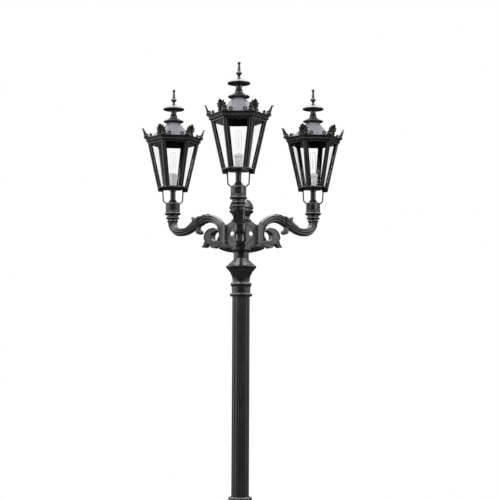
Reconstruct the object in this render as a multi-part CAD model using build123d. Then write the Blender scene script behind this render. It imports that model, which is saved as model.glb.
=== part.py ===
from build123d import *
from math import cos, pi, radians, sin, tan
import os

# Triple head lamp post: a fluted cast column, a webbed hub, three scroll arms and three hexagonal lanterns.
# Millimetres, +Z up, origin on the ground at the column's axis. The front arm points along -Y.

# --- driving dimensions ------------------------------------------------------------------------------------
REACH = 740                  # column axis to lantern axis
GROUND_PLATE = 25            # thickness of the floor plate
PEDESTAL_TOP = 560
SHAFT_FOOT = 627             # levels above the ground
SHAFT_TOP = 2369
CAPITAL_FOOT = 2396
NECK_FOOT = 2702
NECK_TOP = 2758
WEB_FOOT = 2793
HUB_TOP = 3045
ARM_TOP = 3066
LANTERN_FLOOR = 3377
HEADS = {"front": (-90, 0), "right": (30, 10), "left": (150, 10)}   # arm bearing, lantern's turn, degrees

SHAFT_R = 77
FLUTES = 16
NECK_R = 67
FIT = 0.05                   # radial clearance of a running fit

os.makedirs("parts", exist_ok=True)


# --- shaping helpers ---------------------------------------------------------------------------------------
def section(start, *steps):
    """A closed upright face in the XZ plane. A step is a point, or (through, end) for an arc."""
    edges = []
    here = start
    for step in steps:
        if isinstance(step[0], tuple):
            through, there = step
            edges.append(ThreePointArc(upright(here), upright(through), upright(there)))
        else:
            there = step
            edges.append(Line(upright(here), upright(there)))
        here = there
    if here != start:
        edges.append(Line(upright(here), upright(start)))
    return make_face(edges)


def upright(point):
    return Vector(point[0], 0, point[1])


def turned(start, *steps):
    """A turned piece: the section goes round the Z axis."""
    return revolve(section(start, *steps), Axis.Z)


def across(start, *steps, width):
    """A plate of the section's outline, centred on the XZ plane."""
    return extrude(section(start, *steps), amount=width / 2, both=True)


def flat(corner):
    """Distance from the axis to a hexagon's flat side, from the distance to its corner."""
    return corner * cos(radians(30))


def mitred(sides, start, *steps):
    """A moulding that runs round a polygon with mitred corners; x is the distance to the flat side.
    One flat side faces -Y."""
    face = section(start, *steps)
    box = face.bounding_box()
    reach = 2 * box.max.X
    half = reach * tan(pi / sides)
    sector = make_face(Polyline((0, 0), (reach, -half), (reach, half), close=True))
    wedge = Pos(0, 0, box.min.Z - 1) * extrude(sector, amount=box.size.Z + 2)
    side = extrude(face, amount=half, both=True) & wedge
    step = 360 / sides
    return Part() + [Rot(0, 0, -90 + i * step) * side for i in range(sides)]


def cylinder(radius, foot, top, x=0, y=0):
    return Pos(x, y, (foot + top) / 2) * Cylinder(radius, top - foot)


def block(low, high):
    middle = [(a + b) / 2 for a, b in zip(low, high)]
    return Pos(*middle) * Box(*[b - a for a, b in zip(low, high)])


def lying(radius, start, end, x=0, z=0):
    """A round bar along Y."""
    return Pos(x, (start + end) / 2, z) * Rot(90, 0, 0) * Cylinder(radius, end - start)


def round_the_post(shape):
    """The same shape on each arm's bearing, made for the bearing +X."""
    return [Rot(0, 0, bearing) * shape for bearing, _ in HEADS.values()]


def write(name, shape):
    export_step(shape, f"parts/{name}.step")


# --- foot of the post --------------------------------------------------------------------------------------
ANCHOR_CIRCLE_R = 175
ANCHOR_HOLE_R = 12
CABLE_HOLE_R = 40
PLATE_R = 225
PEDESTAL_FLAT = 130          # axis to a flat side of the octagon
PEDESTAL_WALL = 12
DOOR_HALF = 40
DOOR_FOOT, DOOR_TOP = 170, 470
DOOR_GAP = 1
DOOR_OUT = PEDESTAL_FLAT + 1
DOOR_THICK = 8
HINGE_X = -46
HINGE_Y = -(PEDESTAL_FLAT + 6.5)
KNUCKLE_R = 6
HINGE_PIN_R = 3
HINGE_LEVELS = (215, 425)
KNUCKLE = 18                 # length of one knuckle
LOCK_X, LOCK_Z = 28, 320
LOCK_R = 9


def ground_flange():
    plate = turned((CABLE_HOLE_R, 0), (PLATE_R, 0), (PLATE_R, 19),
                   ((PLATE_R - 2, 23), (PLATE_R - 6, GROUND_PLATE)), (CABLE_HOLE_R, GROUND_PLATE))
    for spot in PolarLocations(ANCHOR_CIRCLE_R, 4, start_angle=45):
        plate -= spot * Cylinder(ANCHOR_HOLE_R, 3 * GROUND_PLATE)
    return plate


def pedestal():
    """Hollow octagonal casting with a moulded plinth, a torus under the cap and the door opening."""
    out, inner = PEDESTAL_FLAT, PEDESTAL_FLAT - PEDESTAL_WALL
    foot = GROUND_PLATE
    body = mitred(8, (inner, foot), (out + 22, foot), (out + 22, foot + 55),
                  ((out + 20, foot + 62), (out + 14, foot + 66)), ((out + 3, foot + 76), (out, foot + 96)),
                  (out, PEDESTAL_TOP - 44), ((out + 3, PEDESTAL_TOP - 32), (out + 12, PEDESTAL_TOP - 26)),
                  (out + 12, PEDESTAL_TOP), (inner, PEDESTAL_TOP))
    half, low, high = DOOR_HALF + DOOR_GAP, DOOR_FOOT - DOOR_GAP, DOOR_TOP + DOOR_GAP
    body -= block((-half, -out - 5, low), (half, -inner + 5, high))
    for level in HINGE_LEVELS:
        for z in (level - KNUCKLE, level + KNUCKLE):
            body += cylinder(KNUCKLE_R, z - KNUCKLE / 2 + 0.3, z + KNUCKLE / 2 - 0.3, HINGE_X, HINGE_Y)
            body += block((HINGE_X - KNUCKLE_R, HINGE_Y, z - KNUCKLE / 2 + 0.3),
                          (HINGE_X, -out + 1, z + KNUCKLE / 2 - 0.3))
        body += cylinder(HINGE_PIN_R, level - KNUCKLE, level + KNUCKLE, HINGE_X, HINGE_Y)
    return body


def access_door():
    """Flat door with a raised border, two strap hinges and the lock's hole."""
    door = block((-DOOR_HALF, -DOOR_OUT, DOOR_FOOT), (DOOR_HALF, -DOOR_OUT + DOOR_THICK, DOOR_TOP))
    door -= block((-DOOR_HALF + 12, -DOOR_OUT - 1, DOOR_FOOT + 12),
                  (DOOR_HALF - 24, -DOOR_OUT + 2, DOOR_TOP - 12))
    for level in HINGE_LEVELS:
        low, high = level - KNUCKLE / 2 + 0.3, level + KNUCKLE / 2 - 0.3
        door += block((HINGE_X, HINGE_Y - 0.5, low), (HINGE_X + 34, -PEDESTAL_FLAT - 0.4, high))
        door += block((-DOOR_HALF + 8, HINGE_Y + 1, low), (HINGE_X + 34, -DOOR_OUT + 3, high))
        door += cylinder(KNUCKLE_R, low, high, HINGE_X, HINGE_Y)
        door -= cylinder(HINGE_PIN_R + FIT, low - 1, high + 1, HINGE_X, HINGE_Y)
    return door - lying(LOCK_R + FIT, -DOOR_OUT - 5, -DOOR_OUT + DOOR_THICK + 5, LOCK_X, LOCK_Z)


def door_lock():
    """Quarter-turn lock: a flanged barrel with a triangular key stud, and a cam behind the jamb."""
    wall_back = -PEDESTAL_FLAT + PEDESTAL_WALL
    cam_front, cam_back = wall_back + 0.6, wall_back + 4.6
    lock = lying(LOCK_R, -DOOR_OUT, cam_back, LOCK_X, LOCK_Z)
    lock += lying(LOCK_R + 4, -DOOR_OUT - 3, -DOOR_OUT - 0.2, LOCK_X, LOCK_Z)
    lock += lying(LOCK_R - 0.5, -DOOR_OUT - 1, -DOOR_OUT, LOCK_X, LOCK_Z)
    lock -= lying(6.5, -DOOR_OUT - 4, -DOOR_OUT + 6, LOCK_X, LOCK_Z)
    stud = extrude(Plane.XZ * RegularPolygon(4.6, 3), amount=8)
    lock += Pos(LOCK_X, -DOOR_OUT + 6.5, LOCK_Z) * stud
    return lock + block((LOCK_X - 7, cam_front, LOCK_Z - 8), (LOCK_X + 7, cam_back, LOCK_Z + 19))


def terminal_box():
    """Fused cable connection box on the pedestal's back wall, with its two glands below."""
    back = PEDESTAL_FLAT - PEDESTAL_WALL
    box = fillet(block((-38, back - 48, 240), (38, back, 400)).edges().filter_by(Axis.Z), 5)
    for x in (-18, 18):
        box += cylinder(11, 222, 240, x, back - 24)
    return box


def pedestal_cap():
    """Round moulded cap that seats the shaft."""
    return turned((SHAFT_R - 16, PEDESTAL_TOP), (136, PEDESTAL_TOP), (136, 574), ((133, 583), (124, 588)),
                  ((108, 596), (101, 611)), ((100, 622), (92, SHAFT_FOOT)), (SHAFT_R - 16, SHAFT_FOOT))


# --- column ------------------------------------------------------------------------------------------------
SPIGOT_R = 60                # the shaft's top end inside the capital
SPIGOT_TOP = CAPITAL_FOOT + 61
BAND_R = 82
SCREW_Z = CAPITAL_FOOT + 32
SCREW_R = 7
SCREW_BEARINGS = (-130, -10, 110)


def shaft():
    """Fluted tube with a turned spigot at its top."""
    outline = Circle(SHAFT_R)
    for spot in PolarLocations(SHAFT_R + 3, FLUTES, start_angle=90 / FLUTES):
        outline -= spot * Circle(9)
    tube = Pos(0, 0, SHAFT_FOOT) * extrude(outline, amount=SHAFT_TOP - SHAFT_FOOT)
    tube += cylinder(SPIGOT_R, SHAFT_TOP, SPIGOT_TOP)
    return tube - cylinder(SPIGOT_R - 10, SHAFT_FOOT - 1, SPIGOT_TOP + 1)


def shaft_collar():
    return turned((SPIGOT_R, SHAFT_TOP), (SHAFT_R + 10, SHAFT_TOP), ((95, 2372), (98, 2382.5)),
                  ((95, 2393), (SHAFT_R + 10, CAPITAL_FOOT)), (SPIGOT_R, CAPITAL_FOOT))


def capital():
    """Turned capital: plain band, torus, hollow bell, sharp rim and the steps up to the neck."""
    bell = turned((SPIGOT_R, CAPITAL_FOOT), (BAND_R, CAPITAL_FOOT), (BAND_R, 2453), (85, 2457),
                  ((93, 2474), (84, 2491)), (75, 2496), ((85, 2553), (108, 2596)), (117, 2602), (120, 2612),
                  (127, 2614), ((133, 2624), (132, 2638)), ((119, 2644), (113, 2656)), (101, 2659),
                  ((97, 2667), (87, 2671)), (84, 2682), ((73, 2688), (NECK_R, 2702)), (50, 2702),
                  (50, SPIGOT_TOP), (SPIGOT_R, SPIGOT_TOP))
    for bearing in SCREW_BEARINGS:
        hole = Pos(BAND_R, 0, SCREW_Z) * Rot(0, 90, 0) * Cylinder(SCREW_R, 60)
        bell -= Rot(0, 0, bearing) * hole
    return bell


def set_screws():
    """Three sunk grub screws with hexagon sockets, through the band against the shaft's spigot."""
    length = BAND_R - SPIGOT_R - 4
    screw = Cylinder(SCREW_R, length) - Pos(0, 0, length / 2 - 6) * extrude(RegularPolygon(4, 6), amount=8)
    screw = Pos(SPIGOT_R + length / 2, 0, SCREW_Z) * Rot(0, 90, 0) * screw
    return Part() + [Rot(0, 0, bearing) * screw for bearing in SCREW_BEARINGS]


def neck_tube():
    return turned((50, NECK_FOOT), (NECK_R, NECK_FOOT), (NECK_R, NECK_TOP), (50, NECK_TOP))


# --- hub ---------------------------------------------------------------------------------------------------
HUB_PLATE_R = 146            # inner face of the hub's bolting flanges
JOINT_R = 170                # where hub flange and arm flange meet
ARM_PLATE_R = 196
FLANGE_HALF = 46
FLANGE_FOOT, FLANGE_TOP = 2838, 3012
WEB = 14
WEB_PANEL = 24               # width over the raised panels
WEB_HOLE_R = 21
WEB_HOLE_AT = (96, 2931)
COUNTERSINK = 6
CORE_R = 48
BOLT_R = 6
BOLT_TIP_R = 192             # how far the bolts reach into the arm
BOLT_SPOTS = [(y, z) for y in (-30, 30) for z in (FLANGE_FOOT + 22, FLANGE_TOP - 22)]


def hub_web():
    """One web towards +X: a plate with a raised panel, a countersunk round hole and the end flange."""
    outline = section((0, WEB_FOOT), (65, WEB_FOOT), (HUB_PLATE_R, FLANGE_FOOT + 2),
                      (HUB_PLATE_R, FLANGE_TOP + 2), (95, HUB_TOP), (0, HUB_TOP))
    web = extrude(outline, amount=WEB / 2, both=True)
    web += across((40, 2840), (70, 2838), (138, 2912), (138, 2952), (70, 2998), (40, 2998), width=WEB_PANEL)
    hole = Cylinder(WEB_HOLE_R, WEB_PANEL + 2)
    for side in (-1, 1):
        mouth = Cone(WEB_HOLE_R + COUNTERSINK, WEB_HOLE_R, COUNTERSINK)
        hole += Rot(90 + 90 * side, 0, 0) * Pos(0, 0, -WEB_PANEL / 2 + COUNTERSINK / 2) * mouth
    web -= Pos(WEB_HOLE_AT[0], 0, WEB_HOLE_AT[1]) * Rot(90, 0, 0) * hole
    plate = block((HUB_PLATE_R, -FLANGE_HALF, FLANGE_FOOT), (JOINT_R, FLANGE_HALF, FLANGE_TOP))
    return web + fillet(plate.edges().filter_by(Axis.X), 6)


def bolt_hole(y, z, radius, reach):
    """A hole along X from inside the hub flange out to the reach."""
    start = HUB_PLATE_R - 1
    return Pos((reach + start) / 2, y, z) * Rot(0, 90, 0) * Cylinder(radius, reach - start)


def hub():
    core = cylinder(CORE_R, WEB_FOOT, HUB_TOP)
    casting = Part() + [core] + round_the_post(hub_web())
    for holes in round_the_post(Part() + [bolt_hole(y, z, BOLT_R + 1, JOINT_R + 1) for y, z in BOLT_SPOTS]):
        casting -= holes
    return casting


def hub_saucer():
    """Cast dish under the hub, drawn out into a boat-shaped lobe below each arm."""
    bowl = turned((0, NECK_TOP), (NECK_R, NECK_TOP), ((80, 2766), (84, WEB_FOOT)), (0, WEB_FOOT))
    lobe = across((20, NECK_TOP), (NECK_R, NECK_TOP), ((150, 2773), (198, 2792)), ((208, 2799), (206, 2810)),
                  (195, 2826), (JOINT_R, FLANGE_FOOT), (HUB_PLATE_R, FLANGE_FOOT), (65, WEB_FOOT), (20, WEB_FOOT),
                  width=2 * FLANGE_HALF)
    hull = across((-FLANGE_HALF, 2850), (-FLANGE_HALF, 2822), ((-40, 2786), (-22, 2750)), (22, 2750),
                  ((40, 2786), (FLANGE_HALF, 2822)), (FLANGE_HALF, 2850), width=600)
    return Part() + [bowl] + round_the_post(lobe & Rot(0, 0, 90) * hull)


def ball_finial():
    """Turned ball on the hub: neck, bowl, groove and dome."""
    return turned((0, HUB_TOP), (92, HUB_TOP), ((79, 3050), (74, 3062)), (74, 3074),
                  ((82, 3092), (103, 3114)), ((107, 3122), (103, 3132)), (96, 3135), (96, 3144), (105, 3147),
                  ((108, 3153), (105, 3160)), ((94, 3193), (74, 3221)), ((44, 3236), (12, 3241)), (0, 3241))


# --- arms --------------------------------------------------------------------------------------------------
TUBE_R = 37
BEAD_R = 7
ROOT_R = 189                 # axis of the limb where it rises from its flange
ARCH_R, DIP_R, RISE_R = 150, 200, 92
ROUTE = [(ROOT_R, 2880), (ROOT_R, 3173.6), (583, 2972), (REACH, 2972), (REACH, ARM_TOP)]
SCROLL = 68                  # widths across the arm
TAIL = 52
CURL = 44
LEAF = 78


def arm_tube():
    """The S-shaped limb: a round section with a bead between two grooves along each side."""
    route = FilletPolyline(*[upright(p) for p in ROUTE], radius=[ARCH_R, DIP_R, RISE_R])
    outline = Circle(TUBE_R)
    for side in (-1, 1):
        outline += Pos(0, side * (TUBE_R - 2)) * Circle(BEAD_R)
        for tilt in (-19, 19):
            outline -= Rot(0, 0, side * 90 + tilt) * Pos(TUBE_R + 1, 0) * Circle(4)
    start = Plane(origin=upright(ROUTE[0]), x_dir=(1, 0, 0), z_dir=(0, 0, 1))
    return sweep(start * outline, route)


def leaf():
    """Acanthus leaf on the arch: its height from the side, its lobes from above."""
    height = across((300, 3060), (300, 3097), ((346, 3115), (400, 3107)), ((440, 3099), (474, 3087)),
                    ((490, 3078), (500, 3088)), ((506, 3097), (517, 3103)), ((519, 3085), (511, 3067)),
                    ((541, 3043), (585, 3024)), (560, 3000), (430, 3030), width=2 * LEAF)
    lobes = [(300, 22), (335, 30), (352, 22), (385, 40), (404, 27), (440, 46), (462, 30), (492, 38),
             (508, 22), (540, 22), (552, 12), (590, 4)]
    outline = Polyline(*[(x, y) for x, y in lobes], *[(x, -y) for x, y in reversed(lobes)], close=True)
    return height & Pos(0, 0, 2990) * extrude(make_face(outline), amount=140)


def scroll():
    """C-scroll at the arm's root: a crescent that thins to a point, a tail leaf and a brace."""
    root = ARM_PLATE_R - 8
    crescent = across((root, 2848), (root, 2868), (240, 2869), ((285, 2876), (301, 2905)),
                      ((293, 2939), (268, 2955)), ((256, 2958), (243, 2957)), ((256, 2979), (284, 2984)),
                      ((341, 2967), (369, 2924)), ((371, 2896), (352, 2866)), (330, 2846), width=SCROLL)
    tail = across((300, 2858), (366, 2884), ((375, 2850), (397, 2821)), ((366, 2824), (346, 2846)),
                  ((332, 2852), (320, 2846)), ((292, 2816), (262, 2815)), ((226, 2822), (root, 2845)),
                  (root, 2858), width=TAIL)
    brace = across((root, 2932), (root + 12, 2928), ((231, 2904), (246, 2867)), (232, 2866),
                   ((220, 2896), (root, 2914)), width=CURL)
    return crescent + tail + brace


def curl():
    """Short stalk under the arch that rolls over into a flattened knob."""
    return across((472, 3022), (472, 2968), ((465, 2949), (440, 2945)), ((418, 2946), (414, 2959)),
                  ((418, 2972), (432, 2973)), ((441, 2978), (442, 2996)), (441, 3030), width=CURL)


def arm():
    """One cast arm towards +X."""
    plate = block((JOINT_R, -FLANGE_HALF, FLANGE_FOOT), (ARM_PLATE_R, FLANGE_HALF, FLANGE_TOP))
    limb = arm_tube() + Pos(*upright(ROUTE[0])) * Sphere(TUBE_R)
    limb -= block((0, -100, 2700), (JOINT_R, 100, FLANGE_TOP + 8))
    casting = limb + fillet(plate.edges().filter_by(Axis.X), 6) + leaf() + scroll() + curl()
    for y, z in BOLT_SPOTS:
        casting -= bolt_hole(y, z, BOLT_R + FIT, BOLT_TIP_R + 2)
    return casting


def arm_bolts():
    """Hexagon bolts, four to each flange, from inside the hub into the arm."""
    length = BOLT_TIP_R - HUB_PLATE_R
    bolt = Pos(0, 0, length / 2) * Cylinder(BOLT_R, length)
    bolt += Pos(0, 0, -8) * extrude(RegularPolygon(11, 6), amount=8)
    four = [Pos(HUB_PLATE_R, y, z) * Rot(0, 90, 0) * bolt for y, z in BOLT_SPOTS]
    return Part() + round_the_post(Part() + four)


# --- lantern: made on the Z axis with corners on +-X, then set on its arm -----------------------------------
FLOOR_T = 15
FLOOR_CORNER = 144
FRAME_TOP = 3786             # top of the glazing
LID_SEAT = 3803              # where the roof lid rests on the frame
CORNICE_TOP = 3840
ROOF_TOP = 3992
BAR_FOOT_R, BAR_TOP_R = 145, 234
BAR_R = 13
WING = 27
WING_T = 9
RIB = 28                     # depth and width of the bar's inner rib
RIB_T = 8
PANE_T = 4
PANE_MARGIN = 26             # half width that the bars take from a pane at each side
STEM_R = 24.15               # a 48.3 mm pipe
SOCKET_R = 27.5
SOCKET_FOOT = 3350
FORK_X = 93
FORK_R = 6
FOOT_BASE = 3349             # underside of the two feet that carry the fork
LID_HINGE_Y = 246
LID_HINGE_Z = LID_SEAT + 7
LID_KNUCKLE_R = 6.5
LID_PIN_R = 3


def collar():
    """Turned socket on the arm's end: rings, a barrel with upright facets and a cone round the stem."""
    foot = turned((0, ARM_TOP), (40, ARM_TOP), ((49, 3071), (48, 3082)), (44, 3086), (44, 3096),
                  ((60, 3103), (57, 3114)), (51, 3119), (51, 3130), (60, 3133), ((72.5, 3146), (66, 3158)),
                  (62, 3160), (62, 3163), ((66, 3169), (62, 3175)), (60, 3175), (60, 3180), (0, 3180))
    barrel = Pos(0, 0, 3180) * extrude(RegularPolygon(65, 16), amount=54)
    cone = turned((0, 3234), (62, 3234), ((64, 3240), (60, 3246)), ((43, 3258), (29, 3276)), (0, 3276))
    return foot + barrel + cone - cylinder(STEM_R, 3190, 3300)


def stem():
    """Pipe from the collar up to the lantern's floor, with the socket that the floor is screwed to."""
    return turned((18, 3190), (STEM_R, 3190), (STEM_R, SOCKET_FOOT), (SOCKET_R, SOCKET_FOOT + 2),
                  (SOCKET_R, LANTERN_FLOOR), (18, LANTERN_FLOOR))


def fork():
    """Two thin rods from the feet of the floor down and in to the collar."""
    sides = []
    for side in (-1, 1):
        points = [(side * FORK_X, FOOT_BASE + 10), (side * (FORK_X - 5), 3264), (side * 58, 3235)]
        route = FilletPolyline(*[upright(p) for p in points], radius=[12])
        sides.append(sweep(Plane(origin=route @ 0, z_dir=route % 0) * Circle(FORK_R), route))
    ends = Part() + sides
    return ends - cylinder(200, FOOT_BASE, FOOT_BASE + 30) - cylinder(65, 3200, 3260)


def floor_ring():
    """Hexagonal floor with a moulded edge, the lampholder's seat and a foot for each rod of the fork."""
    foot, top = LANTERN_FLOOR, LANTERN_FLOOR + FLOOR_T
    edge = mitred(6, (flat(96), foot + 3), (flat(104), foot), (flat(140), foot), ((flat(144), foot + 3),
                  (flat(144), foot + 8)), (flat(138), foot + 11), (flat(138), top), (flat(96), top))
    floor = Pos(0, 0, foot + 3) * extrude(RegularPolygon(98, 6), amount=8)
    floor += cylinder(38, foot, foot + 12)
    rest = across((86, foot), (137, foot), (137, foot - 14), ((134, foot - 24), (124, FOOT_BASE)),
                  (92, FOOT_BASE), ((87.8, FOOT_BASE + 1.8), (86, FOOT_BASE + 6)), width=36)
    return edge + floor + rest + Rot(0, 0, 180) * rest


def corner_bars():
    """Six glazing bars that lean out to the top: a round nose, two wings over the glass and an inner rib."""
    foot = LANTERN_FLOOR + FLOOR_T
    profile = Circle(BAR_R) + Pos(-RIB / 2, 0) * Rectangle(RIB, RIB_T)
    for turn in (120, -120):
        profile += Rot(0, 0, turn) * Pos(WING / 2, 0) * Rectangle(WING, WING_T)
    lean = Vector(BAR_TOP_R - BAR_FOOT_R, 0, FRAME_TOP - foot)
    bar = Pos(BAR_FOOT_R - BAR_R, 0, foot) * extrude(profile, amount=lean.length, dir=lean)
    return Part() + [Rot(0, 0, 60 * i) * bar for i in range(6)]


def pane_flat(corner):
    """Outer face of the glass, behind the wings of bars whose noses stand at this corner radius."""
    return flat(corner - BAR_R) - WING_T / 2 - 0.2


def glass_panes():
    foot = LANTERN_FLOOR + FLOOR_T
    low, high = pane_flat(BAR_FOOT_R), pane_flat(BAR_TOP_R)
    slab = across((low - PANE_T, foot), (low, foot), (high, FRAME_TOP), (high - PANE_T, FRAME_TOP), width=400)
    reach = 300
    gap = PANE_MARGIN
    half = (reach - gap) * tan(pi / 6)
    sector = make_face(Polyline((gap, 0), (reach, -half), (reach, half), close=True))
    pane = slab & Pos(0, 0, foot - 1) * extrude(sector, amount=FRAME_TOP - foot + 2)
    return Part() + [Rot(0, 0, 30 + 60 * i) * pane for i in range(6)]


def top_rail():
    """Hexagonal cove over the glazing, with the fixed half of the lid's hinge at the back."""
    rail = mitred(6, (flat(203), FRAME_TOP), (flat(236), FRAME_TOP), (flat(236), FRAME_TOP + 4),
                  ((flat(238), FRAME_TOP + 11), (flat(245), LID_SEAT)), (flat(203), LID_SEAT))
    for x in (-30, 30):
        rail += block((x - 9, flat(238), LID_SEAT - 8), (x + 9, LID_HINGE_Y, LID_SEAT - 0.4))
        rail += block((x - 9, LID_HINGE_Y - 5, LID_SEAT - 8),
                      (x + 9, LID_HINGE_Y + LID_KNUCKLE_R, LID_HINGE_Z))
        rail += lid_knuckle(x, 18)
    return rail + Pos(0, LID_HINGE_Y, LID_HINGE_Z) * Rot(0, 90, 0) * Cylinder(LID_PIN_R, 78)


def lid_knuckle(x, length):
    return Pos(x, LID_HINGE_Y, LID_HINGE_Z) * Rot(0, 90, 0) * Cylinder(LID_KNUCKLE_R, length)


def lampholder():
    """Ceramic screw lampholder: a body, a wider cap and the bore for the lamp's cap."""
    foot = LANTERN_FLOOR + 12
    return turned((0, foot), (36, foot), (36, foot + 8), (33, foot + 11), (33, 3484),
                  ((35, 3487), (37.5, 3489)), (37.5, 3511), ((36.4, 3514), (34, 3515)), (20, 3515), (20, 3470),
                  (0, 3470))


def lamp():
    """Clear tubular discharge lamp: a screw cap in the holder and a long round-ended envelope."""
    return turned((0, 3472), (14, 3472), (19.5, 3478), (19.5, 3516), ((22, 3532), (24, 3552)), (24, 3690),
                  ((17, 3707), (3, 3714)), (0, 3714))


def cornice():
    """Moulded edge of the roof lid: two beads under a thin plate; its knuckle turns on the frame's pin."""
    edge = mitred(6, (flat(206), LID_SEAT), (flat(247), LID_SEAT),
                  ((flat(253), LID_SEAT + 7), (flat(249), LID_SEAT + 13)), (flat(245), LID_SEAT + 14),
                  ((flat(254), LID_SEAT + 21), (flat(250), LID_SEAT + 28)), (flat(253), LID_SEAT + 30),
                  (flat(271), LID_SEAT + 32), (flat(271), CORNICE_TOP - 1), (flat(269), CORNICE_TOP),
                  (flat(206), CORNICE_TOP))
    lug = block((-20, flat(240), LID_SEAT + 0.5), (20, LID_HINGE_Y, LID_SEAT + 13)) + lid_knuckle(0, 40)
    bore = Pos(0, LID_HINGE_Y, LID_HINGE_Z) * Rot(0, 90, 0) * Cylinder(LID_PIN_R + FIT, 90)
    room = Rot(0, 90, 0) * Cylinder(LID_KNUCKLE_R + 1, 19)
    return edge + lug - bore - [Pos(x, LID_HINGE_Y, LID_HINGE_Z) * room for x in (-30, 30)]


VOLUTE_R = 17
VOLUTE_EYE_R = 8
VOLUTE_OUT = 64              # leaf's centre to volute's centre, along the cornice


def palmette():
    """Corner crown leaf towards +X: a slim thorn from the side, a lobed leaf from the front with a gable at
    its foot, and a ring-like volute along each side of the cornice."""
    thorn = across((233, 0), (262, 0), ((264, 26), (274, 52)), ((284, 76), (299, 93)), ((272, 72), (259, 52)),
                   ((249, 38), (233, 27)), width=120)
    lobes = [(15, 0), (20, 9), (32, 13), (29, 22), (40, 33), (33, 40), (39, 54), (28, 58), (26, 73), (14, 76),
             (10, 88), (0, 94)]
    mirrored = [(0, -y, z) for y, z in reversed(lobes[:-1])]
    outline = Polyline(*[(0, y, z) for y, z in lobes], *mirrored, close=True)
    crest = thorn & Pos(200, 0, 0) * extrude(make_face(outline), amount=130, dir=(1, 0, 0))
    gable = across((-28, 0), (-19, 0), (0, 25), (19, 0), (28, 0), (0, 36), width=11)
    crest += Pos(261, 0, 0) * Rot(0, 0, 90) * gable
    for side in (-1, 1):
        stalk = across((0, 0), (VOLUTE_OUT + 4, 0), (VOLUTE_OUT, 8), ((40, 10), (16, 36)), (0, 40), width=11)
        stalk += Pos(VOLUTE_OUT, 0, VOLUTE_R + 3) * Rot(90, 0, 0) * Cylinder(VOLUTE_R, 11)
        stalk -= Pos(VOLUTE_OUT, 0, VOLUTE_R + 3) * Rot(90, 0, 0) * Cylinder(VOLUTE_EYE_R, 12)
        crest += Pos(245, 0, 0) * Rot(0, 0, side * 120) * stalk
    return Pos(0, 0, CORNICE_TOP) * crest


def crown_palmettes():
    return Part() + [Rot(0, 0, 60 * i) * palmette() for i in range(6)]


def roof():
    """Six bell-cast panels that meet on the hips; hollow."""
    return mitred(6, (flat(212), CORNICE_TOP), (flat(232), CORNICE_TOP), (flat(230), CORNICE_TOP + 4),
                  ((flat(117), 3921), (flat(53), ROOF_TOP)), (flat(44), ROOF_TOP),
                  ((flat(106), 3917), (flat(212), 3846)))


def ventilator():
    """Round drum under a flared hat; the lantern's warm air leaves between them."""
    return turned((36, ROOF_TOP), (47, ROOF_TOP), (47, 4010), ((64, 4005), (82, 3993)),
                  ((89, 3994), (91, 4003)), ((64, 4020), (38, 4028)), (30, 4028), (30, 4016), (36, 4012))


def finial():
    """Ringed neck, mushroom cap and spike with its knob and ball."""
    return turned((0, 4022), (30, 4022), (30, 4028), (36, 4028), (36, 4036), (31, 4037), (31, 4048),
                  (34, 4050), ((28, 4061), (25, 4074)), (25, 4102), ((60, 4104), (92, 4108)),
                  ((97, 4114), (93, 4120)), ((58, 4146), (13, 4160)), ((11, 4172), (12, 4180)),
                  ((16, 4187), (25, 4196)), ((25.5, 4204), (20, 4210)), (14, 4213), (9, 4276),
                  ((13.5, 4289), (3, 4302)), (0, 4302))


POST_PIECES = [ground_flange, pedestal, access_door, door_lock, terminal_box, pedestal_cap, shaft, shaft_collar,
               capital, set_screws, neck_tube, hub, hub_saucer, ball_finial, arm_bolts]
LANTERN_PIECES = [collar, stem, fork, floor_ring, corner_bars, glass_panes, top_rail, lampholder, lamp, cornice,
                  crown_palmettes, roof, ventilator, finial]

for make in POST_PIECES:
    write(make.__name__, make())

one_arm = arm()
for head, (bearing, turn) in HEADS.items():
    write(f"arm_{head}", Rot(0, 0, bearing) * one_arm)

for make in LANTERN_PIECES:
    piece = make()
    for head, (bearing, turn) in HEADS.items():
        spot = Pos(REACH * cos(radians(bearing)), REACH * sin(radians(bearing)), 0)
        write(f"{make.__name__}_{head}", spot * Rot(0, 0, turn) * piece)
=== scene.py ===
from math import cos, pi, radians, sin, tan

import bpy
from mathutils import Matrix, Vector


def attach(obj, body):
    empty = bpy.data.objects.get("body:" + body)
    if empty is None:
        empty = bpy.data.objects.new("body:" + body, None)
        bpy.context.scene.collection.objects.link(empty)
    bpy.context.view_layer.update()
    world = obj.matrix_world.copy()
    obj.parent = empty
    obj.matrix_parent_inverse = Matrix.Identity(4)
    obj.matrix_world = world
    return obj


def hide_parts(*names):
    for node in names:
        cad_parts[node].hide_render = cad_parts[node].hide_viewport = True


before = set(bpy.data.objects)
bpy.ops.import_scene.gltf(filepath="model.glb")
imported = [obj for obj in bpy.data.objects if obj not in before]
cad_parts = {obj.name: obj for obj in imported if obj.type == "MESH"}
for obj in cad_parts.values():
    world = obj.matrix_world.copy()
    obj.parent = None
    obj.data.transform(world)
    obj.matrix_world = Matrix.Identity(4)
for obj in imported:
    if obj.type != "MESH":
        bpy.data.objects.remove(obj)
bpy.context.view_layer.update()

# The triple head lamp post as it is put together, from the ground up. Metres, +Z up.

# --- Column -------------------------------------------------------------------------------------------------
# Cast iron pedestal, fluted shaft, turned capital, saucer and ball, bolted together on the ground plate and
# sprayed with one coat of semi-gloss black over the casting skin.
BLACK = (0.007, 0.0075, 0.007, 1)
WORN_BLACK = (0.026, 0.027, 0.025, 1)
MIX_SOCKETS = {"FLOAT": (2, 3, 0), "RGBA": (6, 7, 2)}   # two inputs and the output of a Mix node of each kind


def set_inputs(tree, node, inputs):
    """Sets each input to its value, or links it where the value is a socket."""
    for name, value in inputs.items():
        if isinstance(value, bpy.types.NodeSocket):
            tree.links.new(value, node.inputs[name])
        else:
            node.inputs[name].default_value = value


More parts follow.
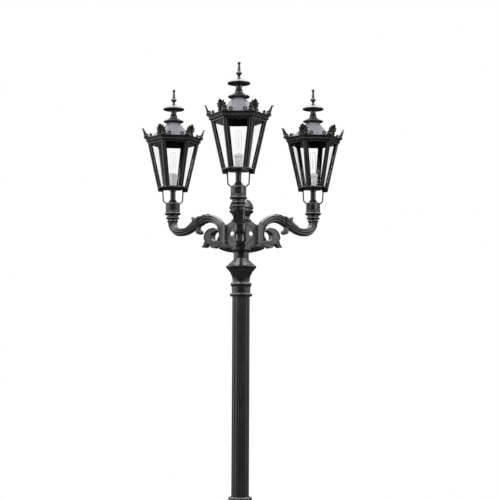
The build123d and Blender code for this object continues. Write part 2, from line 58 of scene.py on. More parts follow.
def add_node(tree, kind, inputs, **settings):
    """A shader node with its settings and inputs."""
    node = tree.nodes.new(kind)
    for name, value in settings.items():
        setattr(node, name, value)
    set_inputs(tree, node, inputs)
    return node


def noise(tree, place, scale, detail, roughness=0.5):
    """Blotches from 0 to 1 on the object's own coordinates, finer as the scale grows."""
    inputs = {"Vector": place.outputs["Object"], "Scale": scale, "Detail": detail, "Roughness": roughness}
    return add_node(tree, "ShaderNodeTexNoise", inputs).outputs["Fac"]


def between(tree, value, start=0, end=1, low=0, high=1, easing="LINEAR"):
    """Goes from low to high as the value goes from start to end, and holds still beyond them."""
    inputs = {"Value": value, "From Min": start, "From Max": end, "To Min": low, "To Max": high}
    return add_node(tree, "ShaderNodeMapRange", inputs, interpolation_type=easing).outputs["Result"]


def work_out(tree, operation, *values):
    """The result of a sum of sockets or numbers."""
    return add_node(tree, "ShaderNodeMath", dict(enumerate(values)), operation=operation).outputs["Value"]


def mixed(tree, kind, share, first, second):
    """Goes from the first number or colour to the second as the share goes from 0 to 1."""
    first_input, second_input, output = MIX_SOCKETS[kind]
    inputs = {"Factor": share, first_input: first, second_input: second}
    return add_node(tree, "ShaderNodeMix", inputs, data_type=kind).outputs[output]


def new_finish(name):
    """A material with its tree, its Principled shader and the object's own coordinates."""
    finish = bpy.data.materials.new(name)
    finish.use_nodes = True
    tree = finish.node_tree
    return finish, tree, tree.nodes["Principled BSDF"], tree.nodes.new("ShaderNodeTexCoord")


def sprayed_paint(name, deep, worn, roughness, grain, grain_scale, crevice_depth=0.03, coat=0.8, bend=1.5):
    """Sprayed paint on a casting: dust on what faces up, painted shade in crevices, a grainy skin and uneven
    gloss.
    """
    finish, tree, shader, place = new_finish(name)
    blotches = noise(tree, place, scale=9, detail=6, roughness=0.62)
    facing = add_node(tree, "ShaderNodeSeparateXYZ", {"Vector": place.outputs["Normal"]})
    dust = between(tree, work_out(tree, "MULTIPLY", facing.outputs["Z"], blotches), start=0.05, end=0.6)
    patches = between(tree, blotches, start=0.35, end=0.75, high=0.45)
    colour = mixed(tree, "RGBA", work_out(tree, "MAXIMUM", dust, patches), deep, worn)
    # The ambient occlusion node darkens the colour in crevices and recesses: painted shade.
    crevice_shade = add_node(tree, "ShaderNodeAmbientOcclusion", {"Color": colour, "Distance": crevice_depth},
                        samples=8)
    gloss = between(tree, blotches, start=0.3, end=0.7, low=roughness, high=roughness + 0.1)
    grime = between(tree, crevice_shade.outputs["AO"], start=0.2, end=0.7, low=0.65, high=0)
    skin = noise(tree, place, scale=grain_scale, detail=4, roughness=0.6)
    soft_edges = add_node(tree, "ShaderNodeBevel", {"Radius": 0.004}, samples=6)
    relief = add_node(tree, "ShaderNodeBump", {"Height": skin, "Strength": grain, "Distance": 0.0006,
                                               "Normal": soft_edges.outputs["Normal"]}).outputs["Normal"]
    set_inputs(tree, shader, {
        "Base Color": crevice_shade.outputs["Color"], "Roughness": work_out(tree, "MAXIMUM", gloss, grime),
        "IOR": bend, "Normal": relief, "Coat Weight": coat, "Coat Roughness": 0.05, "Coat Normal": relief})
    return finish


def finish_nodes(finish, *names):
    """Gives the frame's nodes of these names their finish."""
    for name in names:
        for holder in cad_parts[name].material_slots:
            holder.material = finish


iron_paint = sprayed_paint("iron_paint", BLACK, WORN_BLACK, roughness=0.17, grain=0.3, grain_scale=260)
finish_nodes(iron_paint, "ground_flange", "pedestal", "pedestal_cap", "shaft", "shaft_collar", "capital",
             "neck_tube", "hub_saucer", "ball_finial", "access_door", "set_screws")

# --- Hub ----------------------------------------------------------------------------------------------------
# The webbed casting that carries the arms, bolted from inside. Its paint is duller than on the turned
# pieces, and its black is painted as a lighter grey that stands in for the light on its flat faces.
HUB_LIT_GREY = (0.1, 0.102, 0.102, 1)
HUB_LIT_WORN = (0.155, 0.157, 0.154, 1)

hub_paint = sprayed_paint("hub_paint", HUB_LIT_GREY, HUB_LIT_WORN, roughness=0.36, grain=0.5, grain_scale=200,
                          crevice_depth=0.006, coat=0)
finish_nodes(hub_paint, "hub", "arm_bolts")

# --- Arms ---------------------------------------------------------------------------------------------------
# Three equal scroll arms cast in aluminium. Two pairs of reeds run along each limb, from the flange over the
# arch and through the dip to the end of the last bend, and the same black coat covers all.
HEADS = {"front": (-90, 0), "right": (30, 10), "left": (150, 10)}   # arm's bearing, lantern's turn, degrees
ARM_SPOTS = {head: Matrix.Rotation(radians(bearing), 4, "Z") for head, (bearing, turn) in HEADS.items()}
IN_POST = {head: "post" for head in HEADS}
REACH = 0.740                                # post axis to lantern axis
LIMB_R = 0.037
LIMB_CORNERS = ((0.189, 2.9), (0.189, 3.1736), (0.583, 2.972), (REACH, 2.972), (REACH, 3.066))   # out and up
LIMB_BENDS = (0.150, 0.200, 0.092)
BEND_STEP = radians(5)
REED_R = 0.007
REED_SIDES = 12
REED_TILTS = (radians(-34), radians(34))     # from the limb's side


def at_heads(*pieces):
    """The names of these pieces at all three heads."""
    return [f"{piece}_{head}" for piece in pieces for head in HEADS]


def first_ring(name, radius, spot, sides, turn=(0, 0, 0)):
    """A new piece that starts as one ring, open for modelling."""
    bpy.ops.object.select_all(action="DESELECT")
    bpy.ops.mesh.primitive_circle_add(vertices=sides, radius=radius, location=spot, rotation=turn)
    piece = bpy.context.object
    piece.name = piece.data.name = name
    bpy.ops.object.transform_apply()
    bpy.ops.object.mode_set(mode="EDIT")
    bpy.ops.mesh.select_all(action="SELECT")
    return piece


def pull_out(step):
    """Draws what is selected out by a step, with new walls behind it."""
    bpy.ops.mesh.extrude_region_move(TRANSFORM_OT_translate={"value": step})


def close_and_smooth():
    """Closes the open ends, turns the faces outwards and leaves edit mode with soft shading."""
    bpy.ops.mesh.select_all(action="SELECT")
    bpy.ops.mesh.fill_holes(sides=64)
    bpy.ops.mesh.normals_make_consistent(inside=False)
    bpy.ops.object.mode_set(mode="OBJECT")
    bpy.ops.object.shade_smooth_by_angle(angle=radians(40))


def set_out(model, spots, finish, bodies):
    """Puts a copy of the model at each head's spot, painted and riding on its body; the model itself goes."""
    for head, spot in spots.items():
        copy = bpy.data.objects.new(f"{model.name}_{head}", model.data.copy())
        copy.data.transform(spot)
        bpy.context.scene.collection.objects.link(copy)
        copy.data.materials.append(finish)
        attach(copy, bodies[head])
    bpy.data.objects.remove(model)


def in_plane(point):
    """A point that is given out and up, in the arm's middle plane."""
    return Vector((point[0], 0, point[1]))


arm_paint = sprayed_paint("arm_paint", BLACK, WORN_BLACK, roughness=0.17, grain=0.3, grain_scale=300)
finish_nodes(arm_paint, *at_heads("arm"))

corners = [in_plane(corner) for corner in LIMB_CORNERS]
reed_feet = [corners[0] + Vector((LIMB_R * sin(tilt), side * LIMB_R * cos(tilt), 0))
             for side in (-1, 1) for tilt in REED_TILTS]
reeds = first_ring("arm_reeds", REED_R, reed_feet[0], REED_SIDES)
for foot in reed_feet[1:]:
    bpy.ops.mesh.primitive_circle_add(vertices=REED_SIDES, radius=REED_R, location=foot)
bpy.ops.mesh.select_all(action="SELECT")
here = corners[0]
for corner, after, bend in zip(corners[1:-1], corners[2:], LIMB_BENDS):
    ahead = (corner - here).normalized()
    leave = (after - corner).normalized()
    angle = ahead.angle(leave)
    setback = bend * tan(angle / 2)
    bend_start = corner - ahead * setback
    pull_out(bend_start - here)
    inward = (leave - ahead * ahead.dot(leave)).normalized()
    bpy.ops.mesh.spin(steps=round(angle / BEND_STEP), angle=angle, center=bend_start + inward * bend,
                      axis=leave.cross(ahead))
    here = corner + leave * setback
close_and_smooth()
set_out(reeds, ARM_SPOTS, arm_paint, IN_POST)

# --- Acanthus leaves ----------------------------------------------------------------------------------------
# A leaf wraps the top of each arch: raked, hollowed lobes on both sides of a rib that curls up at its tip. It
# is cast with the arm.
LEAF_LOBES = ((0.312, 3.094), (0.342, 3.102), (0.374, 3.101), (0.407, 3.095), (0.438, 3.087), (0.467, 3.077))
LOBE_LENGTH, LOBE_WIDTH, LOBE_THICK = 0.058, 0.028, 0.020
TIP_STARTS = (0.55, 0.75)                    # shares of a lobe's length from which it narrows and bends
VEIN_HALF, VEIN_END = 0.1, 0.8               # shares of its width and of its length
ROOT_ASIDE, ROOT_UP = 0.015, 0.007           # a lobe's root, from the limb's line
LOBE_WAY = (0.7, 0.54, -0.18)                # out, aside and up, for the first pair
LOBE_DROOP = 0.06                            # more for each next pair
LOBE_FACE = (0.1, 0.5, 0.8)
RIB_START = (0.305, 3.096)
RIB_LINE = ((0.330, 3.1125), (0.360, 3.1165), (0.400, 3.111), (0.440, 3.102), (0.472, 3.091), (0.488, 3.086),
            (0.500, 3.092), (0.512, 3.103))
RIB_R, RIB_SIDES, RIB_TAPER = 0.009, 12, 0.92


def joined(name, pieces):
    """One object from several, all at the origin."""
    bpy.ops.object.select_all(action="DESELECT")
    for piece in pieces:
        piece.select_set(True)
    bpy.context.view_layer.objects.active = pieces[0]
    bpy.ops.object.join()
    whole = bpy.context.object
    whole.name = whole.data.name = name
    return whole


def select_where(piece, wanted):
    """Selects the points whose place fits, in edit mode."""
    bpy.ops.mesh.select_all(action="DESELECT")
    bpy.ops.object.mode_set(mode="OBJECT")
    for point in piece.data.vertices:
        point.select = wanted(point.co)
    bpy.ops.object.mode_set(mode="EDIT")


def drop(name, length, width, thick, taper, vein, curl):
    """A leaf's lobe along X from the origin: a flattened drop with a hollow vein and a bent tip."""
    bpy.ops.object.select_all(action="DESELECT")
    bpy.ops.mesh.primitive_uv_sphere_add(segments=16, ring_count=10, radius=0.5, location=(0, 0, 0),
                                         rotation=(0, pi / 2, 0))
    piece = bpy.context.object
    piece.name = piece.data.name = name
    bpy.ops.object.transform_apply()
    bpy.ops.object.mode_set(mode="EDIT")
    bpy.ops.mesh.select_all(action="SELECT")
    bpy.ops.transform.translate(value=(0.5, 0, 0))
    bpy.ops.transform.resize(value=(length, width, thick), center_override=(0, 0, 0))
    for share in TIP_STARTS:
        select_where(piece, lambda co: co.x > share * length)
        bpy.ops.transform.resize(value=(1, taper, taper), center_override=(0, 0, 0))
        bpy.ops.transform.translate(value=(0, 0, curl))
    select_where(piece, lambda co: abs(co.y) < VEIN_HALF * width and co.z > 0.1 * thick
                 and co.x < VEIN_END * length)
    bpy.ops.transform.translate(value=(0, 0, -vein))
    bpy.ops.object.mode_set(mode="OBJECT")
    bpy.ops.object.shade_smooth_by_angle(angle=radians(60))
    return piece


def copy_at(model, spot, along, up):
    """A copy of the model whose X runs along and whose Z is near up."""
    x = Vector(along).normalized()
    y = Vector(up).cross(x).normalized()
    z = x.cross(y)
    copy = bpy.data.objects.new(model.name, model.data.copy())
    copy.data.transform(Matrix.Translation(spot) @ Matrix((x, y, z)).transposed().to_4x4())
    bpy.context.scene.collection.objects.link(copy)
    return copy


def on_side(side, out, aside, up):
    """A place or direction on one side (-1 or 1) of the arm's middle plane."""
    return Vector((out, side * aside, up))


lobe = drop("leaf_lobe", LOBE_LENGTH, LOBE_WIDTH, LOBE_THICK, taper=0.66, vein=0.004, curl=-0.006)
lobes = []
for number, (out, up) in enumerate(LEAF_LOBES):
    way_out, way_aside, way_up = LOBE_WAY
    for side in (-1, 1):
        lobes.append(copy_at(lobe, on_side(side, out, ROOT_ASIDE, up + ROOT_UP),
                             on_side(side, way_out, way_aside, way_up - LOBE_DROOP * number),
                             on_side(side, *LOBE_FACE)))
bpy.data.objects.remove(lobe)
here = in_plane(RIB_START)
rib = first_ring("leaf_rib", RIB_R, here, RIB_SIDES, (0, pi / 2, 0))
for point in map(in_plane, RIB_LINE):
    pull_out(point - here)
    bpy.ops.transform.resize(value=[RIB_TAPER] * 3, center_override=point)
    here = point
close_and_smooth()
set_out(joined("acanthus_leaf", [rib] + lobes), ARM_SPOTS, arm_paint, IN_POST)

# --- Scroll rims --------------------------------------------------------------------------------------------
# A round bead edges both faces of each C-scroll and of its tail leaf. It is cast with the arm and painted
# with it.
RIM_R, RIM_SIDES, RIM_STEPS = 0.0075, 10, 8
SCROLL_HALF, TAIL_HALF = 0.034, 0.026        # from the arm's middle plane to the bead
# Each edge is its start and then (through, end) of each arc, out and up.
CRESCENT_OUTSIDE = ((0.243, 2.957), ((0.256, 2.979), (0.284, 2.984)), ((0.341, 2.967), (0.369, 2.924)),
                    ((0.371, 2.896), (0.352, 2.866)))
CRESCENT_INSIDE = ((0.240, 2.869), ((0.285, 2.876), (0.301, 2.905)), ((0.293, 2.939), (0.268, 2.955)))
TAIL_EDGE = ((0.366, 2.884), ((0.375, 2.850), (0.397, 2.821)), ((0.366, 2.824), (0.346, 2.846)),
             ((0.332, 2.852), (0.320, 2.846)), ((0.292, 2.816), (0.262, 2.815)))


def turn_along(start, through, end, steps):
    """Spins what is selected round the arc from start through a point to the end."""
    a, b, c = Vector(start), Vector(through), Vector(end)
    d = 2 * (a.x * (b.y - c.y) + b.x * (c.y - a.y) + c.x * (a.y - b.y))
    u = (a.length_squared * (b.y - c.y) + b.length_squared * (c.y - a.y) + c.length_squared * (a.y - b.y)) / d
    v = (a.length_squared * (c.x - b.x) + b.length_squared * (a.x - c.x) + c.length_squared * (b.x - a.x)) / d
    centre = Vector((u, v))
    sweep = (a - centre).angle_signed(b - centre) + (b - centre).angle_signed(c - centre)
    bpy.ops.mesh.spin(steps=steps, angle=-sweep, center=in_plane(centre), axis=(0, 1, 0))


rims = []
for edge, half in ((CRESCENT_OUTSIDE, SCROLL_HALF), (CRESCENT_INSIDE, SCROLL_HALF), (TAIL_EDGE, TAIL_HALF)):
    start, *arcs = edge
    for side in (-1, 1):
        rims.append(first_ring("scroll_rim", RIM_R, on_side(side, start[0], half, start[1]), RIM_SIDES,
                               (0, pi / 4, 0)))
        here = start
        for through, end in arcs:
            turn_along(here, through, end, RIM_STEPS)
            here = end
        close_and_smooth()
set_out(joined("scroll_rims", rims), ARM_SPOTS, arm_paint, IN_POST)

# --- Curl knobs ---------------------------------------------------------------------------------------------
# The stalk under each arch rolls over into a round knob with a raised eye on both sides. It is cast with the
# arm and painted with it.
KNOB_AT = (0.438, 2.9615)                    # out and up
KNOB_HALF = ((0.0, 0.0232), (0.014, 0.0228), (0.021, 0.0200), (0.0245, 0.0160), (0.0225, 0.0120),
             (0.0230, 0.0085), (0.0275, 0.0070), (0.0290, 0.0040))   # (across, radius) from the middle plane
KNOB_SIDES = 24


def turned(name, rings, sides=32):
    """A turned piece on the Z axis: a ring that is drawn out through each (radius, height)."""
    (radius, height), *rest = rings
    piece = first_ring(name, radius, (0, 0, height), sides)
    for wider, higher in rest:
        pull_out((0, 0, higher - height))
        bpy.ops.transform.resize(value=(wider / radius, wider / radius, 1), center_override=(0, 0, higher))
        radius, height = wider, higher
    close_and_smooth()
    return piece


near_half = [(radius, -across) for across, radius in KNOB_HALF[:0:-1]]
far_half = [(radius, across) for across, radius in KNOB_HALF]
knob = turned("curl_knob", near_half + far_half, KNOB_SIDES)
knob.data.transform(Matrix.Translation(in_plane(KNOB_AT)) @ Matrix.Rotation(pi / 2, 4, "X"))
set_out(knob, ARM_SPOTS, arm_paint, IN_POST)

# --- Panel beads --------------------------------------------------------------------------------------------
# A raised bead frames the drilled panel on both faces of each of the hub's webs. It is cast with the hub and
# painted in the column's glossier black.
PANEL_BEAD_R, PANEL_BEAD_SIDES = 0.0035, 10
PANEL_BEAD_OUT = 0.0125                      # from the web's middle plane
PANEL_BEAD_TURN = radians(15)
PANEL_EDGE = ((0.052, 2.836), (0.118, 2.893), (0.127, 2.912), (0.127, 2.945), (0.118, 2.964), (0.052, 3.018))

beads = []
for side in (-1, 1):
    start, *rest = PANEL_EDGE
    beads.append(first_ring("panel_bead", PANEL_BEAD_R, on_side(side, start[0], PANEL_BEAD_OUT, start[1]),
                            PANEL_BEAD_SIDES, (0, PANEL_BEAD_TURN, 0)))
    here = in_plane(start)
    for point in map(in_plane, rest):
        pull_out(point - here)
        here = point
    close_and_smooth()
set_out(joined("panel_beads", beads), ARM_SPOTS, iron_paint, IN_POST)

# --- Lantern frames -----------------------------------------------------------------------------------------
# Cast aluminium floor, glazing bars, cove, cornice and turned pieces, painted black. Three grub screws clamp
# each collar's barrel on its stem.
LANTERN_WORN = (0.025, 0.026, 0.024, 1)
BARREL_R = 0.0642
GRUB = ((0.0062, -0.004), (0.0062, 0.0012), (0.0052, 0.0022), (0.0032, 0.0022), (0.0032, -0.003))
GRUB_SIDES = 18
GRUB_HEIGHT = 3.205
GRUB_BEARINGS = (-47, 73, 193)


def polar(radius, bearing, height):
    """A place by its distance from the Z axis, its bearing in degrees and its height."""
    return Vector((radius * cos(radians(bearing)), radius * sin(radians(bearing)), height))


LANTERN_SPOTS = {head: Matrix.Translation(polar(REACH, bearing, 0)) @ Matrix.Rotation(radians(turn), 4, "Z")
                 for head, (bearing, turn) in HEADS.items()}
lantern_paint = sprayed_paint("lantern_paint", BLACK, LANTERN_WORN, roughness=0.15, grain=0.25,
                              grain_scale=320)
finish_nodes(lantern_paint, *at_heads("collar", "stem", "fork", "floor_ring", "corner_bars", "top_rail",
                                      "cornice", "crown_palmettes", "ventilator", "finial"))

grub = turned("grub", GRUB, GRUB_SIDES)
grubs = [copy_at(grub, polar(BARREL_R, bearing, GRUB_HEIGHT), (0, 0, -1), polar(1, bearing, 0))
         for bearing in GRUB_BEARINGS]
bpy.data.objects.remove(grub)
set_out(joined("collar_screws", grubs), LANTERN_SPOTS, lantern_paint, IN_POST)

# --- Crown palmettes ----------------------------------------------------------------------------------------
# Each corner leaf of the crown is cast with a fan of seven petals over a rolled gable, and a spiral volute
# ends the stalk on each side. The lid's cornice carries them.
CORNERS = 6
PALMETTE_FOOT = 3.840
# Each petal is its bearing in the fan, in degrees, and its length.
PETALS = ((0, 0.064), (22, 0.064), (-22, 0.064), (46, 0.054), (-46, 0.054), (72, 0.040), (-72, 0.040))
PETAL_WIDTH, PETAL_THICK = 0.022, 0.015
FAN_OUT, FAN_SPREAD, FAN_UP = 0.263, 0.006, 0.030
LEAF_LEAN = radians(14)
GABLE_R, GABLE_SIDES = 0.0055, 12
GABLE_OUT, GABLE_UP = 0.2665, 0.034
GABLE_STEPS = ((0.013, 0.019), (0.010, 0.012))           # aside and down
STALK_R, STALK_SIDES, STALK_OUT = 0.0048, 10, 0.245
VOLUTE_R, VOLUTE_STEPS, VOLUTE_SHRINK = 0.0135, 10, 0.9  # an eighth of a turn each
VOLUTE_OUT, VOLUTE_UP, VOLUTE_BEARING = 0.064, 0.020, 120

leaf_pieces = []
for bearing, length in PETALS:
    petal = drop("petal", length, PETAL_WIDTH, PETAL_THICK, taper=0.96, vein=0.003, curl=0.0006)
    aside, upright = sin(radians(bearing)), cos(radians(bearing))
    leaf_pieces.append(copy_at(petal, (FAN_OUT, FAN_SPREAD * aside, PALMETTE_FOOT + FAN_UP),
                               (sin(LEAF_LEAN) * upright, aside, cos(LEAF_LEAN) * upright),
                               (cos(LEAF_LEAN), 0, -sin(LEAF_LEAN))))
    bpy.data.objects.remove(petal)
for side in (-1, 1):
    roll = first_ring("gable_roll", GABLE_R, (GABLE_OUT, 0, PALMETTE_FOOT + GABLE_UP), GABLE_SIDES,
                      (pi / 2, 0, 0))
    for aside, down in GABLE_STEPS:
        pull_out((0, side * aside, -down))
    close_and_smooth()
    leaf_pieces.append(roll)
for side in (-1, 1):
    volute = first_ring("volute", STALK_R, (VOLUTE_R, 0, 0), STALK_SIDES)
    for step in range(VOLUTE_STEPS):
        bpy.ops.mesh.spin(steps=3, angle=pi / 4, center=(0, 0, 0), axis=(0, 1, 0))
        bpy.ops.transform.resize(value=[VOLUTE_SHRINK] * 3, center_override=(0, 0, 0))
    close_and_smooth()
    swing = Matrix.Rotation(radians(side * VOLUTE_BEARING), 4, "Z")
    centre = Vector((STALK_OUT, 0, PALMETTE_FOOT + VOLUTE_UP)) + swing @ Vector((VOLUTE_OUT, 0, 0))
    volute.data.transform(Matrix.Translation(centre) @ swing)
    leaf_pieces.append(volute)
palmette = joined("palmette", leaf_pieces)
crown = [copy_at(palmette, (0, 0, 0), polar(1, 360 / CORNERS * corner, 0), (0, 0, 1))
         for corner in range(CORNERS)]
bpy.data.objects.remove(palmette)
set_out(joined("palmette_fans", crown), LANTERN_SPOTS, lantern_paint,
        {head: f"lid_{head}" for head in HEADS})

# --- Roofs --------------------------------------------------------------------------------------------------
# Six bell-cast panels of bent sheet on each lid. Their paint is a dull blue grey, which stands in for the
# pale sky that black gloss paint mirrors.
ROOF_GREY = (0.18, 0.183, 0.205, 1)
ROOF_WORN = (0.25, 0.254, 0.285, 1)

roof_paint = sprayed_paint("roof_paint", ROOF_GREY, ROOF_WORN, roughness=0.3, grain=0.15, grain_scale=120,
                           coat=0, bend=1.22)
finish_nodes(roof_paint, *at_heads("roof"))

# --- Glazing ------------------------------------------------------------------------------------------------
# Six clear panes in each lantern, cut from flat glass and held behind the glazing bars, with a faint film of
# dust on them.
PANE_TINT = (0.994, 0.996, 1, 1)


def clear_glass(name, tint, haze, bend):
    """Clear glass that bends light a little, with a film of dust that dulls it up to the haze."""
    finish, tree, shader, place = new_finish(name)
    film = noise(tree, place, scale=14, detail=5)
    set_inputs(tree, shader, {"Base Color": tint, "Transmission Weight": 1, "IOR": bend,
                              "Roughness": between(tree, film, start=0.4, end=0.75, high=haze)})
    return finish


pane_glass = clear_glass("pane_glass", PANE_TINT, haze=0.01, bend=1.18)
finish_nodes(pane_glass, *at_heads("glass_panes"))

# --- Lampholders --------------------------------------------------------------------------------------------
# Large screw lampholders in glazed ivory ceramic, with fine speckles under the glaze. Each is screwed on the
# bracket that stands on its lantern's floor.
IVORY = (0.86, 0.85, 0.81, 1)
PALE_IVORY = (0.92, 0.915, 0.885, 1)

ceramic, tree, shader, place = new_finish("ceramic")
specks = between(tree, noise(tree, place, scale=240, detail=3), start=0.35, end=0.65)
set_inputs(tree, shader, {"Base Color": mixed(tree, "RGBA", specks, IVORY, PALE_IVORY), "Roughness": 0.22})
finish_nodes(ceramic, *at_heads("lampholder"))

# --- Lamps --------------------------------------------------------------------------------------------------
# Clear tubular discharge lamps: a thin glass envelope round a small quartz arc tube, with two support wires,
# cemented into a threaded cap that screws into the lampholder.
LAMP_TINT = (0.998, 0.999, 0.998, 1)
NICKEL = (0.62, 0.6, 0.55, 1)
LAMP_WALL = 0.0009
ENVELOPE = ((0.0195, 3.514), (0.022, 3.532), (0.024, 3.552), (0.024, 3.690), (0.021, 3.703), (0.014, 3.711),
            (0.003, 3.714))                  # (radius, height), as for the other turned pieces
DOME = 3.705                                 # above it the wall's thickness goes down as well as in
ARC_TUBE = ((0.002, 3.558), (0.006, 3.564), (0.0072, 3.600), (0.006, 3.640), (0.002, 3.646))
ARC_TUBE_SIDES = 16
CAP_TIP, CAP_RIM = (0.0140, 3.4725), (0.0188, 3.5165)
THREAD_ROOT, THREAD_CREST = 0.0183, 0.0193
THREAD_FOOT, THREAD_PITCH, THREAD_TURNS = 3.474, 0.006, 6
WIRE = ((0.0005, 3.515), (0.0005, 3.690))
WIRE_SIDES, WIRE_ASIDE = 8, 0.0105


def bare_metal(name, colour, grain_scale, detail, bright, dull):
    """Unpainted metal whose roughness wanders between bright and dull."""
    finish, tree, shader, place = new_finish(name)
    tarnish = noise(tree, place, scale=grain_scale, detail=detail)
    set_inputs(tree, shader, {"Base Color": colour, "Metallic": 1,
                              "Roughness": between(tree, tarnish, low=bright, high=dull)})
    return finish


inner_wall = [(radius - LAMP_WALL, height - (LAMP_WALL if height > DOME else 0))
              for radius, height in ENVELOPE]
envelope = turned("lamp_glass", [*ENVELOPE, *reversed(inner_wall)])
arc_tube = turned("arc_tube", ARC_TUBE, ARC_TUBE_SIDES)
thread = [(THREAD_CREST if half_turn % 2 else THREAD_ROOT, THREAD_FOOT + THREAD_PITCH * half_turn / 2)
          for half_turn in range(2 * THREAD_TURNS)]
cap_and_wires = [turned("lamp_cap", [CAP_TIP, *thread, CAP_RIM])]
for side in (-1, 1):
    wire = turned("wire", WIRE, WIRE_SIDES)
    wire.data.transform(Matrix.Translation((0, side * WIRE_ASIDE, 0)))
    cap_and_wires.append(wire)

lamp_glass = clear_glass("lamp_glass", LAMP_TINT, haze=0, bend=1.08)
cap_nickel = bare_metal("cap_nickel", NICKEL, grain_scale=260, detail=4, bright=0.2, dull=0.42)
set_out(envelope, LANTERN_SPOTS, lamp_glass, IN_POST)
set_out(arc_tube, LANTERN_SPOTS, lamp_glass, IN_POST)
set_out(joined("lamp_cap", cap_and_wires), LANTERN_SPOTS, cap_nickel, IN_POST)
for head in HEADS:
    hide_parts(f"lamp_{head}")

# --- Door lock and terminal box -----------------------------------------------------------------------------
# A turned steel quarter-turn lock holds the service door shut. Behind the door the buried cable ends in a
# moulded box of grey plastic.
STEEL = (0.5, 0.49, 0.47, 1)
BOX_GREY = (0.42, 0.43, 0.44, 1)

lock_steel = bare_metal("lock_steel", STEEL, grain_scale=900, detail=2, bright=0.25, dull=0.5)
finish_nodes(lock_steel, "door_lock")

box_plastic, tree, shader, place = new_finish("box_plastic")
moulded = noise(tree, place, scale=700, detail=2)
relief = add_node(tree, "ShaderNodeBump", {"Height": moulded, "Strength": 0.2, "Distance": 0.0004})
set_inputs(tree, shader, {"Base Color": BOX_GREY, "Roughness": 0.55, "Normal": relief.outputs["Normal"]})
finish_nodes(box_plastic, "terminal_box")

# --- Hinge and box screws -----------------------------------------------------------------------------------
# Pan-head steel screws with a hexagon socket hold the door's hinge straps, where they are painted over, and
# the lid of the cable box.
SCREW_HEAD = ((0.0030, -0.0020), (0.0052, -0.0006), (0.0052, 0.0006), (0.0042, 0.0019), (0.0026, 0.0023),
              (0.0025, 0.0021), (0.0025, -0.0004))
SCREW_SIDES = 12
STRAP_X, STRAP_FACE, STRAP_Z = (-0.040, -0.018), -0.137, (0.215, 0.425)
BOX_X, BOX_FACE, BOX_Z = (-0.032, 0.032), 0.0705, (0.247, 0.393)

screw = turned("screw_head", SCREW_HEAD, SCREW_SIDES)
for name, xs, face, heights, body, finish, slot in (
        ("hinge_screws", STRAP_X, STRAP_FACE, STRAP_Z, "door", iron_paint, "fastener"),
        ("box_screws", BOX_X, BOX_FACE, BOX_Z, "post", lock_steel, "lock_steel")):
    screws = joined(name, [copy_at(screw, (x, face, z), (1, 0, 0), (0, -1, 0)) for x in xs for z in heights])
    screws.data.materials.append(finish)
    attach(screws, body)
bpy.data.objects.remove(screw)

# --- Floor --------------------------------------------------------------------------------------------------
# A pale round studio floor that fades into the white surround. The paint mirrors it as dark as the ground
# outdoors.
FLOOR_R, FLOOR_SIDES = 6.0, 96
FADE_START, FADE_END = 1.2, 5.5              # from the post's axis
FLOOR_PALE = (0.82, 0.82, 0.82, 1)
GROUND_DARK = (0.06, 0.065, 0.05, 1)
GROUND_GLOW = 0.06
WHITE = (1, 1, 1, 1)


def bounces(tree, ray):
    """How often a ray was mirrored or scattered before it came here."""
    return work_out(tree, "ADD", ray.outputs["Glossy Depth"], ray.outputs["Diffuse Depth"])


bpy.ops.object.select_all(action="DESELECT")
bpy.ops.mesh.primitive_circle_add(vertices=FLOOR_SIDES, radius=FLOOR_R, fill_type="NGON", location=(0, 0, 0))
floor = bpy.context.object
floor.name = "studio_floor"
studio, tree, shader, place = new_finish("studio_floor")
bounced = bounces(tree, tree.nodes.new("ShaderNodeLightPath"))
set_inputs(tree, shader, {"Base Color": mixed(tree, "RGBA", bounced, FLOOR_PALE, GROUND_DARK),
                          "Roughness": 0.9})
lift = between(tree, bounced, low=1, high=GROUND_GLOW)
glow = add_node(tree, "ShaderNodeEmission", {"Color": WHITE, "Strength": lift})
away = add_node(tree, "ShaderNodeVectorMath", {0: place.outputs["Object"]}, operation="LENGTH")
fade = between(tree, away.outputs["Value"], start=FADE_START, end=FADE_END, easing="SMOOTHSTEP")
faded = add_node(tree, "ShaderNodeMixShader", {0: fade, 1: shader.outputs["BSDF"],
                                               2: glow.outputs["Emission"]})
set_inputs(tree, tree.nodes["Material Output"], {"Surface": faded.outputs["Shader"]})
floor.data.materials.append(studio)

# --- Light --------------------------------------------------------------------------------------------------
# The camera sees a plain white surround. The paint mirrors a sky that brightens towards the zenith, with a
# bright flank on each side, and an overcast sky and two large softboxes light the object.
HORIZON, ZENITH = 0.01, 4.0                  # mirrored brightness
FLANK, LEFT_SHARE, RIGHT_SHARE = 0.85, 1.3, 0.75
UNDERFOOT, OVERCAST, OVERHEAD_SHARE = 0.1, 1.9, 0.26
SOFTBOX_SIZE, SOFTBOX_AIM = 5.0, (0, 0, 3.0)

world = bpy.data.worlds.new("studio")
bpy.context.scene.world = world
world.use_nodes = True
tree = world.node_tree
ray = tree.nodes.new("ShaderNodeLightPath")
place = tree.nodes.new("ShaderNodeTexCoord")
way = add_node(tree, "ShaderNodeSeparateXYZ", {"Vector": place.outputs["Generated"]})
sideways, upwards = way.outputs["X"], way.outputs["Z"]
sky = between(tree, upwards, start=0.2, end=0.95, low=HORIZON, high=ZENITH, easing="SMOOTHSTEP")
aside = between(tree, work_out(tree, "ABSOLUTE", sideways), start=0.5, end=0.95, high=FLANK,
                easing="SMOOTHSTEP")
above_ground = between(tree, upwards, start=-0.3, end=0.05)
side_share = between(tree, sideways, start=-0.5, end=0.5, low=LEFT_SHARE, high=RIGHT_SHARE)
flanks = work_out(tree, "MULTIPLY", work_out(tree, "MULTIPLY", aside, above_ground), side_share)
clouds = between(tree, upwards, start=-0.25, end=0, low=UNDERFOOT, high=OVERCAST)
overhead = between(tree, upwards, start=0.2, end=0.9, low=1, high=OVERHEAD_SHARE)
mirrored = work_out(tree, "MAXIMUM", sky, flanks)
overcast = work_out(tree, "MULTIPLY", clouds, overhead)
scattered = work_out(tree, "GREATER_THAN", ray.outputs["Diffuse Depth"], 0.5)
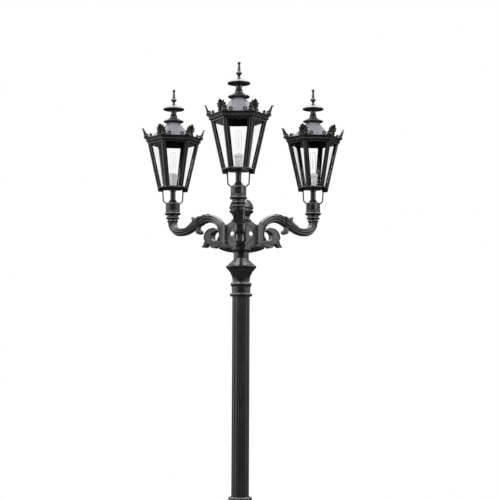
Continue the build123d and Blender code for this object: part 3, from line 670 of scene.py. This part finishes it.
seen_straight = work_out(tree, "LESS_THAN", bounces(tree, ray), 0.5)
strength = mixed(tree, "FLOAT", seen_straight, mixed(tree, "FLOAT", scattered, mirrored, overcast), 1)
set_inputs(tree, tree.nodes["Background"], {"Color": WHITE, "Strength": strength})


def softbox(name, spot, power):
    """A square studio lamp that faces the lanterns."""
    lamp = bpy.data.lights.new(name, "AREA")
    lamp.size = SOFTBOX_SIZE
    lamp.energy = power
    holder = bpy.data.objects.new(name, lamp)
    bpy.context.scene.collection.objects.link(holder)
    facing = (Vector(spot) - Vector(SOFTBOX_AIM)).to_track_quat("Z", "Y")
    holder.matrix_world = Matrix.Translation(spot) @ facing.to_matrix().to_4x4()


softbox("key", spot=(-5.0, -6.5, 8.5), power=340)
softbox("fill", spot=(7.0, -4.0, 6.0), power=110)

# --- Camera -------------------------------------------------------------------------------------------------
# A long lens at eye height, twelve metres away and a little to the right of the front arm, tipped up so that
# the frame holds all that stands above the pedestal.
CAMERA_AWAY = 12.086         # camera to post axis
CAMERA_BEARING = radians(2)  # towards +X from straight in front
EYE = 1.636
TILT = radians(5.41)
POST_OFF_CENTRE = radians(0.367)
ROLL = radians(0.24)
FOCAL_LENGTH = 1374          # in the photograph's pixels
FRAME_WIDTH = 500            # likewise
SENSOR = 36                  # millimetres
FAR_END = 100

view = bpy.data.cameras.new("camera")
view.lens = FOCAL_LENGTH / FRAME_WIDTH * SENSOR
view.sensor_width = SENSOR
view.clip_end = FAR_END
camera = bpy.data.objects.new("camera", view)
bpy.context.scene.collection.objects.link(camera)
camera.location = (CAMERA_AWAY * sin(CAMERA_BEARING), -CAMERA_AWAY * cos(CAMERA_BEARING), EYE)
aimed = Matrix.Rotation(CAMERA_BEARING - POST_OFF_CENTRE, 4, "Z") @ Matrix.Rotation(pi / 2 + TILT, 4, "X")
camera.matrix_world = Matrix.Translation(camera.location) @ aimed @ Matrix.Rotation(ROLL, 4, "Z")
bpy.context.scene.camera = camera
bpy.context.scene.view_settings.view_transform = "Standard"
